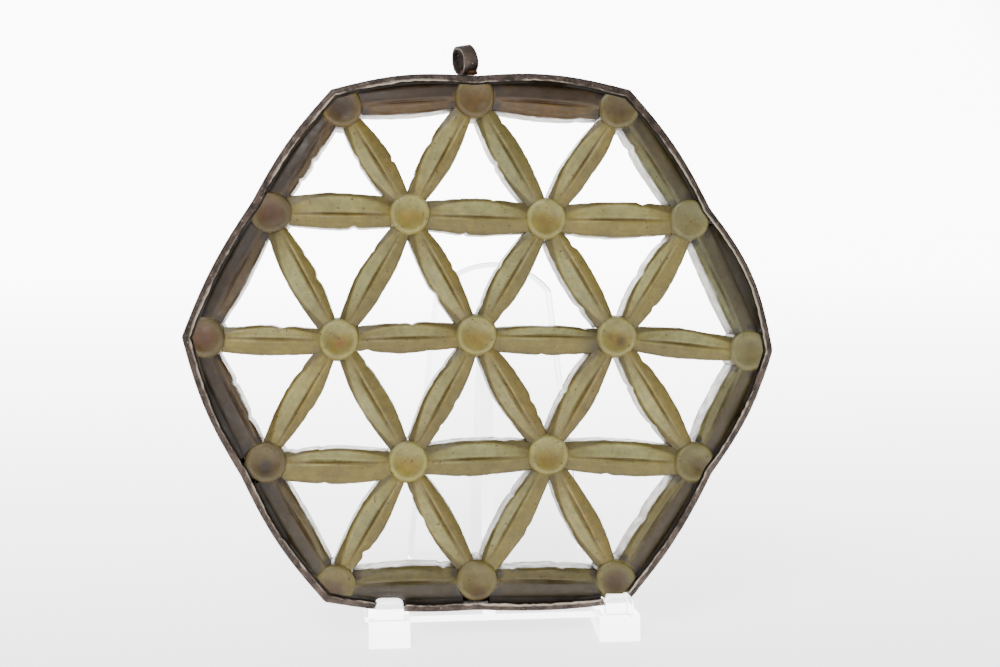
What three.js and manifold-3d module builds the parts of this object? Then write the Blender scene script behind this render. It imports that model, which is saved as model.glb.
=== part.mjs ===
// An openwork jade plaque in a silver band with a hanging loop, leaning on its clear easel.
// Millimetres, +Z up, the plaque's face towards -Y. The origin is under the middle of the whole.
// The plaque's own pieces are modelled in its plane (x across, y up the plaque, z out of its
// face, from the jade's flat back) and then leaned back on the easel in one group.
import * as THREE from 'three';
import { mergeVertices } from 'three/addons/utils/BufferGeometryUtils.js';
import Module from 'manifold-3d';

const wasm = await Module();
wasm.setup();

// ---- driving dimensions of the plaque ----
const PITCH = 19.05;                       // spacing of neighbouring bosses
const ROW_STEP = PITCH * Math.sqrt(3) / 2;
const ROW_COUNTS = [3, 4, 5, 4, 3];        // bosses in each row, from the top
const CLEARANCE = 0.3;                     // gap that touching pieces keep

// How far the hand-cut bosses stray from the even grid, row by row: [across, up].
const BOSS_DRIFT = [
  [[0.2, -1.6], [-0.8, 0], [0, -1.2]],
  [[0.3, 0.5], [0, 0.5], [-0.4, 0.1], [0.4, 0.2]],
  [[1.0, 0.1], [0, -0.1], [-0.3, 0.6], [0, 0.5], [-0.5, -1.3]],
  [[-0.2, -0.3], [0, -0.2], [0.2, 0.7], [1.5, -0.3]],
  [[-0.3, -0.5], [0, 0], [0.2, -0.1]],
];

// Bosses on the rim, clockwise from the top left, numbered row by row.
const RIM = [0, 1, 2, 6, 11, 15, 18, 17, 16, 12, 7, 3];
// Band's outside beyond the line through the rim bosses: at each boss, and mid-way to the next.
const RIM_DIP = [2.8, 3.0, 3.1, 3.4, 3.4, 2.95, 3.6, 4.15, 2.8, 3.9, 3.1, 3.0];
const RIM_BULGE = [3.9, 4.15, 4.05, 5.05, 4.1, 4.05, 4.4, 4.2, 4.25, 4.4, 3.75, 3.6];
// Half width of each rim strut on its inner side, mid-way.
const RIM_INNER = [1.6, 2.0, 1.4, 1.1, 1.4, 1.5, 1.8, 2.3, 1.3, 1.0, 1.5, 1.1];
// Struts cut to one side of the line between their bosses: 'from-to': shift to the left of it.
const STRUT_SHIFT = {
  '1-4': -0.4, '3-4': 0.35, '3-8': -0.5, '4-9': -0.35, '5-10': -0.3, '6-10': 0.5, '7-8': -0.3,
  '8-12': -0.5, '9-10': -0.6, '10-14': -0.35, '12-13': -0.6, '13-16': -0.3, '13-17': -0.3,
  '14-17': 0.5,
};

// ---- jade ----
const EDGE_HEIGHT = 5.0;                   // top of the struts' side walls
const CROWN_HEIGHT = 5.85;                 // beside the vein, mid strut
const END_FALL = 0.35;                     // how far the crown sinks towards the bosses
const VEIN_DEPTH = 0.35;
const VEIN_HALF = 0.3;
const BAR = { end: 1.95, middle: 2.45 };   // half widths of the level struts
const SLIM_BAR = { end: 1.65, middle: 2.05 };   // of those in the middle row
const LEAF = { end: 1.3, middle: 2.15 };   // of the slanting struts
const RIM_END_FRACTION = 0.75;             // a rim strut's inner half width at its ends
const RIM_OUTSIDE = { end: 5, middle: 5 }; // reaches past the outline, which trims it
const RIM_SHELF = 2.5;                     // from here out, a rim strut is flat, for the band's lip
const STRUT_START = 0.1;                   // fraction of the pitch, inside the boss
const STRUT_STATIONS = 5;
const BOSS_SIDES = 12;
const HUB_RADIUS = 3.0;
const BOSS_RADIUS = 2.75;
const BOSS_RIM_RADIUS = 2.35;
const HUB_HEIGHT = 4.9;
const BOSS_WALL_HEIGHT = 5.7;
const BOSS_RIM_HEIGHT = 6.1;
const BOSS_DISH_HEIGHT = 5.75;

// ---- silver band ----
const SHEET = 0.4;
const LIP = 1.1;                           // width of the folded lips
const JADE_INSET = SHEET + CLEARANCE;      // jade's edge inside the band's outside
const FRONT_FOLD = EDGE_HEIGHT + CLEARANCE + SHEET;
const LIP_RISE = 0.35;                     // the front lip's free edge stands a little proud
const BACK_LIP_TOP = -CLEARANCE;
const STEPS_A_SIDE = 5;                    // stations from one rim boss to the next
const NOTCH = { left: -14.0, right: -10.0, top: -35.4, radius: 1.0 };
const CORNER_GAP = { left: 17.9, right: 23.5, top: -34.9 };
const CORNER_GAP_END = 5.96;               // where the long band stops, in rim steps

// ---- hanging loop ----
const LOOP = { outer: 2.1, inner: 1.6, width: 2.1, x: -2.0, y: 38.35, z: 3, yaw: 22, roll: 13 };
const SOLDER_PAD = { x: -1.4, width: 2.6, height: 0.75, depth: 2.6 };

// How far the cutting shapes reach past what they cut: out of the plaque's faces, down past its
// lower edge, and every way past the easel below the table.
const CUT_BACK = -2;
const CUT_FRONT = 10;
const CUT_DOWN = -45;
const CUT_WIDE = 60;

// ---- easel ----
const LEAN = THREE.MathUtils.degToRad(10);
const PLATE = {
  middle: 3.4, thickness: 2.8, bevel: 0.7,
  shoulder: 7.2, shoulderHalf: 8.3, archRise: 3.6,
  waist: -32, waistHalf: 12.7, bottom: -50,
  flare: -35.2, flareHalf: 18.7,
};
const LEDGE = -37.45 - CLEARANCE;          // top of the prongs, along the plaque
const PRONG = {
  x: [-12.0, 19.4], width: 5.6, least: 2.0,
  lip: 1.7, lipWidth: 3.8, lipHeight: 2.4, lipRadius: 1.0,
};
// The plaque's lower edge isn't quite parallel to its rows, so they stand turned on the easel.
const TURN = { angle: THREE.MathUtils.degToRad(-1.2), x: 3.7, y: -37 };
const FIN = { x: 2.4, thickness: 1.8, top: 4, topDepth: 2.5, reach: 24, heel: 2.5, toe: -6 };

// ---- joining helpers ----
function toSolid(geometry) {
  const bare = geometry.clone();
  bare.deleteAttribute('normal');
  bare.deleteAttribute('uv');
  const merged = mergeVertices(bare, 1e-4);
  const vertProperties = new Float32Array(merged.getAttribute('position').array);
  const triVerts = new Uint32Array(merged.getIndex().array);
  if (signedVolume(vertProperties, triVerts) < 0) {
    for (let t = 0; t < triVerts.length; t += 3) {
      [triVerts[t + 1], triVerts[t + 2]] = [triVerts[t + 2], triVerts[t + 1]];
    }
  }
  return new wasm.Manifold(new wasm.Mesh({ numProp: 3, vertProperties, triVerts }));
}

function signedVolume(positions, triangles) {
  const corner = (i) => new THREE.Vector3().fromArray(positions, 3 * triangles[i]);
  let sum = 0;
  for (let t = 0; t < triangles.length; t += 3) {
    sum += corner(t).dot(corner(t + 1).cross(corner(t + 2)));
  }
  return sum / 6;
}

function toGeometry(solid) {
  const mesh = solid.getMesh();
  const geometry = new THREE.BufferGeometry();
  geometry.setAttribute('position', new THREE.BufferAttribute(mesh.vertProperties, 3));
  geometry.setIndex(new THREE.BufferAttribute(mesh.triVerts, 1));
  geometry.computeVertexNormals();
  return geometry;
}

function joined(solids) {
  return solids.reduce((whole, solid) => whole.add(solid));
}

// A closed body through rings of the same number of points. A ring is a list of [side, height]
// pairs, and place(station, side, height) turns a pair into a point.
function loft(rings, place) {
  const count = rings[0].length;
  const positions = rings.flatMap((ring, station) =>
    ring.flatMap(([side, height]) => place(station, side, height).toArray()));
  const index = [];
  for (let r = 0; r < rings.length - 1; r += 1) {
    for (let i = 0; i < count; i += 1) {
      const a = r * count + i;
      const b = r * count + (i + 1) % count;
      index.push(a, b, b + count, a, b + count, a + count);
    }
  }
  const capOf = (ring) => THREE.ShapeUtils.triangulateShape(
    ring.map(([side, height]) => new THREE.Vector2(side, height)), []);
  const clockwise = THREE.ShapeUtils.isClockWise(
    rings[0].map(([side, height]) => new THREE.Vector2(side, height)));
  const last = (rings.length - 1) * count;
  const startCap = capOf(rings[0]);
  const endCap = capOf(rings[rings.length - 1]);
  startCap.forEach(([a, b, c]) => index.push(...(clockwise ? [a, b, c] : [a, c, b])));
  endCap.forEach(([a, b, c]) => index.push(
    ...(clockwise ? [last + a, last + c, last + b] : [last + a, last + b, last + c])));
  const geometry = new THREE.BufferGeometry();
  geometry.setAttribute('position', new THREE.Float32BufferAttribute(positions, 3));
  geometry.setIndex(index);
  return geometry;
}

function box(x0, x1, y0, y1, z0, z1) {
  const geometry = new THREE.BoxGeometry(x1 - x0, y1 - y0, z1 - z0);
  geometry.translate((x0 + x1) / 2, (y0 + y1) / 2, (z0 + z1) / 2);
  return toSolid(geometry);
}

function extruded(shape, z0, z1, options = {}) {
  const geometry = new THREE.ExtrudeGeometry(
    shape, { depth: z1 - z0, bevelEnabled: false, curveSegments: 8, ...options });
  geometry.translate(0, 0, z0);
  return geometry;
}

// ---- the lattice ----
const bosses = ROW_COUNTS.flatMap((count, row) => Array.from({ length: count }, (_, place) => {
  const [across, up] = BOSS_DRIFT[row][place];
  return new THREE.Vector2(
    (place - (count - 1) / 2) * PITCH + across,
    ((ROW_COUNTS.length - 1) / 2 - row) * ROW_STEP + up);
}));
const rowOf = ROW_COUNTS.flatMap((count, row) => Array(count).fill(row));
const rimPairs = RIM.map((boss, k) => [boss, RIM[(k + 1) % RIM.length]]);
const isRimPair = (a, b) => rimPairs.some(
  ([c, d]) => (a === c && b === d) || (a === d && b === c));

// Every pair of neighbouring bosses inside the rim, lower number first.
const innerPairs = [];
bosses.forEach((from, a) => bosses.forEach((to, b) => {
  if (b > a && from.distanceTo(to) < 1.35 * PITCH && !isRimPair(a, b)) {
    innerPairs.push([a, b]);
  }
}));

function innerStrut(a, b) {
  const level = rowOf[a] === 2 ? SLIM_BAR : BAR;
  const widths = rowOf[a] === rowOf[b] ? level : LEAF;
  const shift = STRUT_SHIFT[`${a}-${b}`] ?? 0;
  const moved = (side) => ({ end: widths.end + side, middle: widths.middle + side });
  return strut(a, b, moved(shift), moved(-shift));
}

function rimStrut(k) {
  const inner = { end: RIM_INNER[k] * RIM_END_FRACTION, middle: RIM_INNER[k] };
  return strut(...rimPairs[k], RIM_OUTSIDE, inner, true);
}

// One strut: a leaf-like bar whose top rises from its edges to two crowns beside a vein. The
// slope on its left starts at the edge or, where there is a shelf, at the shelf's inner end.
function strut(a, b, leftWidths, rightWidths, shelf = false) {
  const start = bosses[a];
  const along = bosses[b].clone().sub(start);
  const left = new THREE.Vector2(-along.y, along.x).normalize();
  const fractions = Array.from({ length: STRUT_STATIONS + 1 },
    (_, i) => STRUT_START + (1 - 2 * STRUT_START) * i / STRUT_STATIONS);
  const rings = fractions.map((s) => {
    const swell = Math.sin(Math.PI * THREE.MathUtils.clamp((s - 0.12) / 0.76, 0, 1));
    const wide = (widths) => widths.end + (widths.middle - widths.end) * swell;
    const l = wide(leftWidths);
    const r = wide(rightWidths);
    const crown = CROWN_HEIGHT - END_FALL * (1 - swell);
    return [
      [-r, 0], [l, 0], [l, EDGE_HEIGHT], ...(shelf ? [[RIM_SHELF, EDGE_HEIGHT]] : []),
      [VEIN_HALF, crown], [0, crown - VEIN_DEPTH * swell], [-VEIN_HALF, crown],
      [-r, EDGE_HEIGHT],
    ];
  });
  return toSolid(loft(rings, (station, side, height) => new THREE.Vector3(
    start.x + along.x * fractions[station] + left.x * side,
    start.y + along.y * fractions[station] + left.y * side,
    height)));
}

// One boss: a round post with a raised rim and a shallow dish, on a slightly wider hub that
// rounds the corners of the holes.
function boss(centre) {
  const profile = [
    [0, 0], [HUB_RADIUS, 0], [HUB_RADIUS, HUB_HEIGHT], [BOSS_RADIUS, BOSS_WALL_HEIGHT],
    [BOSS_RIM_RADIUS, BOSS_RIM_HEIGHT], [0, BOSS_DISH_HEIGHT],
  ].map(([radius, height]) => new THREE.Vector2(radius, height));
  const geometry = new THREE.LatheGeometry(profile, BOSS_SIDES);
  geometry.rotateX(Math.PI / 2);
  geometry.translate(centre.x, centre.y, 0);
  return toSolid(geometry);
}

// ---- the rim's outline ----
function sideNormal(k) {
  const from = bosses[RIM[k % RIM.length]];
  const to = bosses[RIM[(k + 1) % RIM.length]];
  return new THREE.Vector2(from.y - to.y, to.x - from.x).normalize();
}

function rimCorner(k, inset) {
  const here = k % RIM.length;
  const before = sideNormal(here + RIM.length - 1);
  const after = sideNormal(here);
  const middle = before.clone().add(after).normalize();
  return bosses[RIM[here]].clone().addScaledVector(
    middle, RIM_DIP[here] - inset / middle.dot(after));
}

// The outline at u rim steps clockwise from the top left boss, inset from the band's outside.
function rimPoint(u, inset) {
  const k = Math.floor(u) % RIM.length;
  const s = u - Math.floor(u);
  const next = (k + 1) % RIM.length;
  const rise = RIM_BULGE[k] - (RIM_DIP[k] + RIM_DIP[next]) / 2;
  return rimCorner(k, inset).lerp(rimCorner(next, inset), s)
    .addScaledVector(sideNormal(k), rise * Math.sin(Math.PI * s));
}

function outlineShape(inset) {
  const count = RIM.length * STEPS_A_SIDE;
  return new THREE.Shape(Array.from({ length: count }, (_, i) => rimPoint(
    RIM.length - i / STEPS_A_SIDE, inset)));
}

// How far round the bottom, in rim steps, the outline passes x.
function rimStepAt(side, x) {
  const from = rimPoint(side, 0).x;
  const to = rimPoint(side + 1, 0).x;
  return side + (x - from) / (to - from);
}

// ---- jade plaque ----
function jadePlaque() {
  const inner = innerPairs.map(([a, b]) => innerStrut(a, b));
  const rim = rimPairs.map((_, k) => rimStrut(k));
  const lattice = joined([...inner, ...rim, ...bosses.map(boss)]);
  const whole = lattice.intersect(
    toSolid(extruded(outlineShape(JADE_INSET), CUT_BACK, CUT_FRONT)));
  const lipRoom = toSolid(extruded(outlineShape(0), EDGE_HEIGHT, CUT_FRONT)).subtract(
    toSolid(extruded(outlineShape(LIP + CLEARANCE), CUT_BACK, CUT_FRONT + 1)));
  const cornerCut = box(
    CORNER_GAP.left, CORNER_GAP.right, CUT_DOWN, CORNER_GAP.top, CUT_BACK, CUT_FRONT);
  return whole.subtract(lipRoom).subtract(notchCut()).subtract(cornerCut);
}

function notchCut() {
  const { left, right, top, radius } = NOTCH;
  const shape = new THREE.Shape();
  shape.moveTo(left, CUT_DOWN);
  shape.lineTo(right, CUT_DOWN);
  shape.lineTo(right, top - radius);
  shape.absarc(right - radius, top - radius, radius, 0, Math.PI / 2, false);
  shape.lineTo(left + radius, top);
  shape.absarc(left + radius, top - radius, radius, Math.PI / 2, Math.PI, false);
  return toSolid(extruded(shape, CUT_BACK, CUT_FRONT, { curveSegments: 4 }));
}

// ---- silver band: sheet folded over the jade's edge, front and back ----
function bandSection() {
  const back = BACK_LIP_TOP - SHEET;
  return [
    [0, back], [0, FRONT_FOLD], [LIP, FRONT_FOLD + LIP_RISE],
    [LIP, FRONT_FOLD + LIP_RISE - SHEET], [SHEET, FRONT_FOLD - SHEET],
    [SHEET, BACK_LIP_TOP], [LIP, BACK_LIP_TOP], [LIP, back],
  ];
}

function bandPiece(from, to) {
  const whole = [];
  for (let i = Math.ceil(from * STEPS_A_SIDE + 0.2); i <= to * STEPS_A_SIDE - 0.2; i += 1) {
    whole.push(i / STEPS_A_SIDE);
  }
  const stations = [from, ...whole, to];
  const rings = stations.map(bandSection);
  return loft(rings, (station, inset, height) => {
    const point = rimPoint(stations[station], inset);
    return new THREE.Vector3(point.x, point.y, height);
  });
}

// ---- hanging loop: a ring of flat strip on a pad of solder ----
function hangingLoop() {
  const ring = new THREE.Shape().absarc(0, 0, LOOP.outer, 0, 2 * Math.PI, false);
  ring.holes.push(new THREE.Path().absarc(0, 0, LOOP.inner, 0, 2 * Math.PI, true));
  const geometry = extruded(ring, -LOOP.width / 2, LOOP.width / 2, { curveSegments: 12 });
  geometry.rotateY(Math.PI / 2 + THREE.MathUtils.degToRad(LOOP.yaw));
  geometry.rotateZ(THREE.MathUtils.degToRad(LOOP.roll));
  geometry.translate(LOOP.x, LOOP.y, LOOP.z);
  const bandTop = rimPoint(rimStepAt(0, SOLDER_PAD.x), 0).y + CLEARANCE;
  const pad = box(
    SOLDER_PAD.x - SOLDER_PAD.width / 2, SOLDER_PAD.x + SOLDER_PAD.width / 2,
    bandTop, bandTop + SOLDER_PAD.height,
    LOOP.z - SOLDER_PAD.depth / 2, LOOP.z + SOLDER_PAD.depth / 2);
  return toSolid(geometry).add(pad);
}

// ---- easel ----
const lean = new THREE.Matrix4().makeRotationX(Math.PI / 2 - LEAN);
const PLATE_FACE = BACK_LIP_TOP - SHEET - CLEARANCE;
// Height of the leaning pieces' own origin over the table: the prongs are thinnest at the plate.
const SEAT = PRONG.least - LEDGE * Math.cos(LEAN) - PLATE_FACE * Math.sin(LEAN);

function platePiece() {
  const { middle, bevel } = PLATE;
  const shape = new THREE.Shape();
  const half = PLATE.shoulderHalf - bevel;
  const archRadius = (half ** 2 + PLATE.archRise ** 2) / (2 * PLATE.archRise);
  const archAngle = Math.asin(half / archRadius);
  const archCentre = PLATE.shoulder + PLATE.archRise - archRadius - bevel;
  shape.moveTo(middle - PLATE.flareHalf + bevel, PLATE.bottom);
  shape.lineTo(middle + PLATE.flareHalf - bevel, PLATE.bottom);
  shape.lineTo(middle + PLATE.flareHalf - bevel, PLATE.flare - bevel);
  shape.lineTo(middle + PLATE.waistHalf - bevel, PLATE.waist);
  shape.absarc(middle, archCentre, archRadius, Math.PI / 2 - archAngle, Math.PI / 2 + archAngle);
  shape.lineTo(middle - PLATE.waistHalf + bevel, PLATE.waist);
  shape.lineTo(middle - PLATE.flareHalf + bevel, PLATE.flare - bevel);
  const geometry = new THREE.ExtrudeGeometry(shape, {
    depth: PLATE.thickness - 2 * bevel, curveSegments: 10,
    bevelEnabled: true, bevelThickness: bevel, bevelSize: bevel, bevelSegments: 1,
  });
  geometry.translate(0, 0, PLATE_FACE - PLATE.thickness + bevel);
  return toSolid(geometry);
}

function prong(x) {
  const reach = FRONT_FOLD + LIP_RISE + CLEARANCE;
  const half = PRONG.width / 2;
  const ledge = box(x - half, x + half, PLATE.bottom, LEDGE,
    PLATE_FACE - PLATE.thickness / 2, reach + PRONG.lip);
  const radius = PRONG.lipRadius;
  const lipHalf = PRONG.lipWidth / 2;
  const lipTop = LEDGE + PRONG.lipHeight;
  const lip = new THREE.Shape();
  lip.moveTo(x - lipHalf, LEDGE - 1);
  lip.lineTo(x + lipHalf, LEDGE - 1);
  lip.absarc(x + lipHalf - radius, lipTop - radius, radius, 0, Math.PI / 2);
  lip.absarc(x - lipHalf + radius, lipTop - radius, radius, Math.PI / 2, Math.PI);
  return ledge.add(toSolid(extruded(lip, reach, reach + PRONG.lip, { curveSegments: 4 })));
}

function fin() {
  const foot = (y, z) => new THREE.Vector2(y, z);
  const onPlate = new THREE.Vector3(0, FIN.top, PLATE_FACE - PLATE.thickness / 2)
    .applyMatrix4(lean);
  const side = new THREE.Shape([
    foot(onPlate.y, onPlate.z + SEAT),
    foot(onPlate.y + FIN.topDepth, onPlate.z + SEAT - 1),
    foot(FIN.reach, FIN.heel),
    foot(FIN.reach, -1),
    foot(FIN.toe, -1),
  ]);
  const geometry = extruded(side, -FIN.thickness / 2, FIN.thickness / 2);
  geometry.rotateX(Math.PI / 2);
  geometry.rotateZ(Math.PI / 2);
  geometry.translate(FIN.x, 0, 0);
  return toSolid(geometry);
}

function displayStand() {
  const leaning = joined([platePiece(), ...PRONG.x.map(prong)]);
  const upright = toSolid(toGeometry(leaning).applyMatrix4(
    new THREE.Matrix4().makeTranslation(0, 0, SEAT).multiply(lean)));
  const underTable = box(-CUT_WIDE, CUT_WIDE, -CUT_WIDE, CUT_WIDE, -CUT_WIDE, 0);
  return upright.add(fin()).subtract(underTable);
}

// ---- materials and assembly ----
const finish = (color, roughness, metalness, more = {}) =>
  new THREE.MeshStandardMaterial({ color, roughness, metalness, ...more });
const jade = finish('#9b8d69', 0.42, 0);
const silver = finish('#6a6359', 0.5, 0.9);
const clear = finish('#eef0f6', 0.05, 0, { transparent: true, opacity: 0.35 });

function piece(name, geometry, material) {
  const mesh = new THREE.Mesh(geometry, material);
  mesh.name = name;
  return mesh;
}

const turned = new THREE.Group();
turned.add(
  piece('jade_plaque', toGeometry(jadePlaque()), jade),
  piece('silver_band', bandPiece(rimStepAt(7, NOTCH.left), CORNER_GAP_END + RIM.length), silver),
  piece('silver_band_lower', bandPiece(rimStepAt(6, CORNER_GAP.left), rimStepAt(7, NOTCH.right)),
    silver),
  piece('hanging_loop', toGeometry(hangingLoop()), silver),
);
const pivot = new THREE.Vector3(TURN.x, TURN.y, 0);
turned.rotation.z = TURN.angle;
turned.position.copy(pivot).sub(
  pivot.clone().applyAxisAngle(new THREE.Vector3(0, 0, 1), TURN.angle));

const plaque = new THREE.Group();
plaque.add(turned);
plaque.rotation.x = Math.PI / 2 - LEAN;
plaque.position.z = SEAT;

const assembly = new THREE.Group();
assembly.add(plaque, piece('display_stand', toGeometry(displayStand()), clear));

const root = new THREE.Group();
root.add(assembly);
root.updateMatrixWorld(true);
const bounds = new THREE.Box3().setFromObject(root, true);
const middle = bounds.getCenter(new THREE.Vector3());
assembly.position.set(-middle.x, -middle.y, -bounds.min.z);

export default root;
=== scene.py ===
"""Looks of the openwork jade plaque on its clear easel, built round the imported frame.

The plaque's pieces are modelled in its own plane in millimetres (x across, y up the plaque,
z out of its face, from the jade's flat back), and then placed in the frame in metres.
"""

import math

import bpy
import numpy as np
from mathutils import Matrix, Vector


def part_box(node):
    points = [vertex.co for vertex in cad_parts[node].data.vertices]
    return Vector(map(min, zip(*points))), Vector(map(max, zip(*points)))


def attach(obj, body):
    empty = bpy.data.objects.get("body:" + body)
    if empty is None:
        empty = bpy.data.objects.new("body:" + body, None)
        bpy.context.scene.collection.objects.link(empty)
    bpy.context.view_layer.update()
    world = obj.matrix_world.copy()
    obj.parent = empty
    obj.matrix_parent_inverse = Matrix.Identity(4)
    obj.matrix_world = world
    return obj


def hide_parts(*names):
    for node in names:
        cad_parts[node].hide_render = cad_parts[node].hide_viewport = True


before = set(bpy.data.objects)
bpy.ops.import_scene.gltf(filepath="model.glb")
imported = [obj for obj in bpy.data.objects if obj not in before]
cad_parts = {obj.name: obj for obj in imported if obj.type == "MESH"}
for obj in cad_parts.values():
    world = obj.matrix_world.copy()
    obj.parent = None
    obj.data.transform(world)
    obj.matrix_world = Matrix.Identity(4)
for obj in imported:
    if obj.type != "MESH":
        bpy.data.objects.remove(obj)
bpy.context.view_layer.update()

# ---- driving dimensions, as in the CAD part ----
PITCH = 19.05
ROW_STEP = PITCH * math.sqrt(3) / 2
ROW_COUNTS = [3, 4, 5, 4, 3]
CLEARANCE = 0.3
BOSS_DRIFT = [
    [[0.2, -1.6], [-0.8, 0], [0, -1.2]],
    [[0.3, 0.5], [0, 0.5], [-0.4, 0.1], [0.4, 0.2]],
    [[1.0, 0.1], [0, -0.1], [-0.3, 0.6], [0, 0.5], [-0.5, -1.3]],
    [[-0.2, -0.3], [0, -0.2], [0.2, 0.7], [1.5, -0.3]],
    [[-0.3, -0.5], [0, 0], [0.2, -0.1]],
]
RIM = [0, 1, 2, 6, 11, 15, 18, 17, 16, 12, 7, 3]
RIM_DIP = [2.8, 3.0, 3.1, 3.4, 3.4, 2.95, 3.6, 4.15, 2.8, 3.9, 3.1, 3.0]
RIM_BULGE = [3.9, 4.15, 4.05, 5.05, 4.1, 4.05, 4.4, 4.2, 4.25, 4.4, 3.75, 3.6]
RIM_INNER = [1.6, 2.0, 1.4, 1.1, 1.4, 1.5, 1.8, 2.3, 1.3, 1.0, 1.5, 1.1]
STRUT_SHIFT = {
    (1, 4): -0.4, (3, 4): 0.35, (3, 8): -0.5, (4, 9): -0.35, (5, 10): -0.3, (6, 10): 0.5,
    (7, 8): -0.3, (8, 12): -0.5, (9, 10): -0.6, (10, 14): -0.35, (12, 13): -0.6,
    (13, 16): -0.3, (13, 17): -0.3, (14, 17): 0.5,
}
EDGE_HEIGHT = 5.0
CROWN_HEIGHT = 5.85
END_FALL = 0.35
BAR = (1.95, 2.45)
SLIM_BAR = (1.65, 2.05)
LEAF = (1.3, 2.15)
RIM_END_FRACTION = 0.75
RIM_SHELF = 2.5
RIM_REACH = 5.0
STRUT_START = 0.1
SHEET = 0.4
LIP = 1.1
JADE_INSET = SHEET + CLEARANCE
FRONT_FOLD = EDGE_HEIGHT + CLEARANCE + SHEET
LIP_RISE = 0.35
BACK_LIP_TOP = -CLEARANCE
NOTCH = {"left": -14.0, "right": -10.0, "top": -35.4, "radius": 1.0}
CORNER_GAP = {"left": 17.9, "right": 23.5, "top": -34.9}
CORNER_GAP_END = 5.96
LOOP = {"outer": 2.1, "inner": 1.6, "width": 2.1, "x": -2.0, "y": 38.35, "z": 3.0,
        "yaw": 22, "roll": 13}
SOLDER_PAD = {"x": -1.4, "width": 2.6, "height": 0.75, "depth": 2.6}
LEAN = math.radians(10)
TURN = math.radians(-1.2)
TURN_PIVOT = (3.7, -37.0)
LEDGE = -37.45 - CLEARANCE
PRONG_LEAST = 2.0
PLATE_FACE = BACK_LIP_TOP - SHEET - CLEARANCE
PLATE_MIDDLE = 3.4
PLATE_FLARE_HALF = 18.7
PLATE_LEFT = PLATE_MIDDLE - PLATE_FLARE_HALF
FIN_REACH = 24.0
CUT_DOWN = -45.0           # the cutting tools end here, clear of the jade: down the plaque,
CUT_BACK = -2.0            # behind it and in front of it
CUT_FRONT = 10.0
LIP_ROOM_TOP = 12.0
LIP_ROOM_CORE = (-4.0, 14.0)

# ---- fine detail ----
MM = 0.001
SEED = 11
STRUT_STATIONS = 52
TOP_FRACTIONS = [1, 0.95, 0.88, 0.8, 0.73, 0.62, 0.5, 0.38, 0.27, 0.19, 0.12, 0.06]
NEIGHBOUR_REACH = 1.35     # bosses nearer than this many pitches are joined by a strut
SWELL_START = 0.12         # a strut swells between this part of its length and its mirror
SWELL_SPAN = 0.76
WALL_MIDDLE = 2.4          # extra line of points half way up the side walls
WALL_TOP = EDGE_HEIGHT - 0.45
EDGE_DROP = 0.22           # rounds the edge between a strut's top and its walls
ROUNDED_POWER = 1.7
VEIN_DEPTH = 0.42
VEIN_HALF = 0.22
VEIN_DRIFT = 0.06
LENS_FRACTION = 0.8        # how far towards its edge a strut's lens-shaped facet reaches
LENS_LEAST = 0.12
LENS_START = 0.08
LENS_SPAN = 0.84
LENS_POWER = 0.6
LENS_FALL = 0.35
LENS_HOLLOW = 0.1
EDGE_NIBBLE = 0.022
EDGE_WANDER = 0.06
CHIPS = 2                  # most chips along one edge
CHIP_DEPTH = (0.08, 0.3)
CHIP_WIDTH = (0.012, 0.035)
BOSS_SIDES = 40
BOSS_TOP = 5.9
BOSS_WALL = [              # radius and height, from the back up to the rim of the dish
    (3.0, 0.0), (3.0, 2.4), (3.0, 4.4), (2.96, 4.8), (2.9, 5.1), (2.83, 5.35),
    (2.73, 5.57), (2.58, 5.75), (2.38, 5.87), (2.15, BOSS_TOP), (1.9, 5.87),
]
BOSS_DISH = [(1.5, 0.5), (1.0, 0.85), (0.5, 1.0)]   # radius and part of the dish's depth
DISH_DEPTH = (0.2, 0.36)
BOSS_TILT = 0.05
BOSS_WOBBLE = [(2, 0.02), (3, 0.015), (7, 0.008)]   # bumps round the edge, and their size
OUTLINE_STEPS = 24
ARC_STEPS = 8              # of each rounded corner of the notch
SIDE_END = 0.999999        # the end of one side of the rim, just short of the next side
BAND_STEPS = 60
RUB_LEVEL = FRONT_FOLD + LIP_RISE - 0.12   # the lip is rubbed bright above this
RUB_FADE = 0.08
RUB_MOST = 0.85
FINE_INSET = 0.06          # keeps the rounder fine outline inside the CAD's facets
FINE_INSET_BELOW = 0.3     # only the points of the band nearer its outside than this
LIP_LOWER = 0.06           # how far the fine lip stays below the CAD's
RING_STEPS = 96
SOLDER_STEPS = 28
SOLDER_SIDES = 40

# ---- stage and camera ----
GLOW_NEAR = 1.6            # light given off by the paper, at the object and behind it
GLOW_FAR = 9.0
GLOW_DEPTH = (-0.05, 0.3)  # where it grows from near to far, in metres behind the object
GLOW_SIDE_FADE = (0.42, 0.6)
GLOW_TOP_FADE = (0.3, 0.6)
GLOW_LEAST = 0.05
BACKDROP_HALF = 0.75
BACKDROP_FRONT = -3.0
BACKDROP_FLAT = 0.35
BACKDROP_BEND = 0.6        # where the paper starts to curve up, and its radius
BACKDROP_RADIUS = 0.5
BACKDROP_TOP = 1.5
BACKDROP_STEPS = 12
CENTRE = (0, 0, 0.04)
LIGHTS = [                 # name, place, size and power
    ("key", (-0.35, -0.45, 0.75), 0.5, 8.0),
    ("fill", (0.7, -0.7, 0.35), 0.8, 4.0),
    ("low", (-0.1, -0.6, 0.02), 0.25, 1.5),
]
WORLD_COLOUR = (0.85, 0.88, 1, 1)
WORLD_STRENGTH = 0.5
CAMERA_AZIMUTH = math.radians(-4.4)
CAMERA_RISE = math.radians(1.3)
CAMERA_AWAY = 210.0
CAMERA_ROLL = math.radians(0.446)
CAMERA_LEVEL = 6.4
CAMERA_LENS = 55.6
CAMERA_SENSOR = 36
CAMERA_NEAREST = 0.01
CAMERA_SHIFT = (0.0208, 0.0064)


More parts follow.
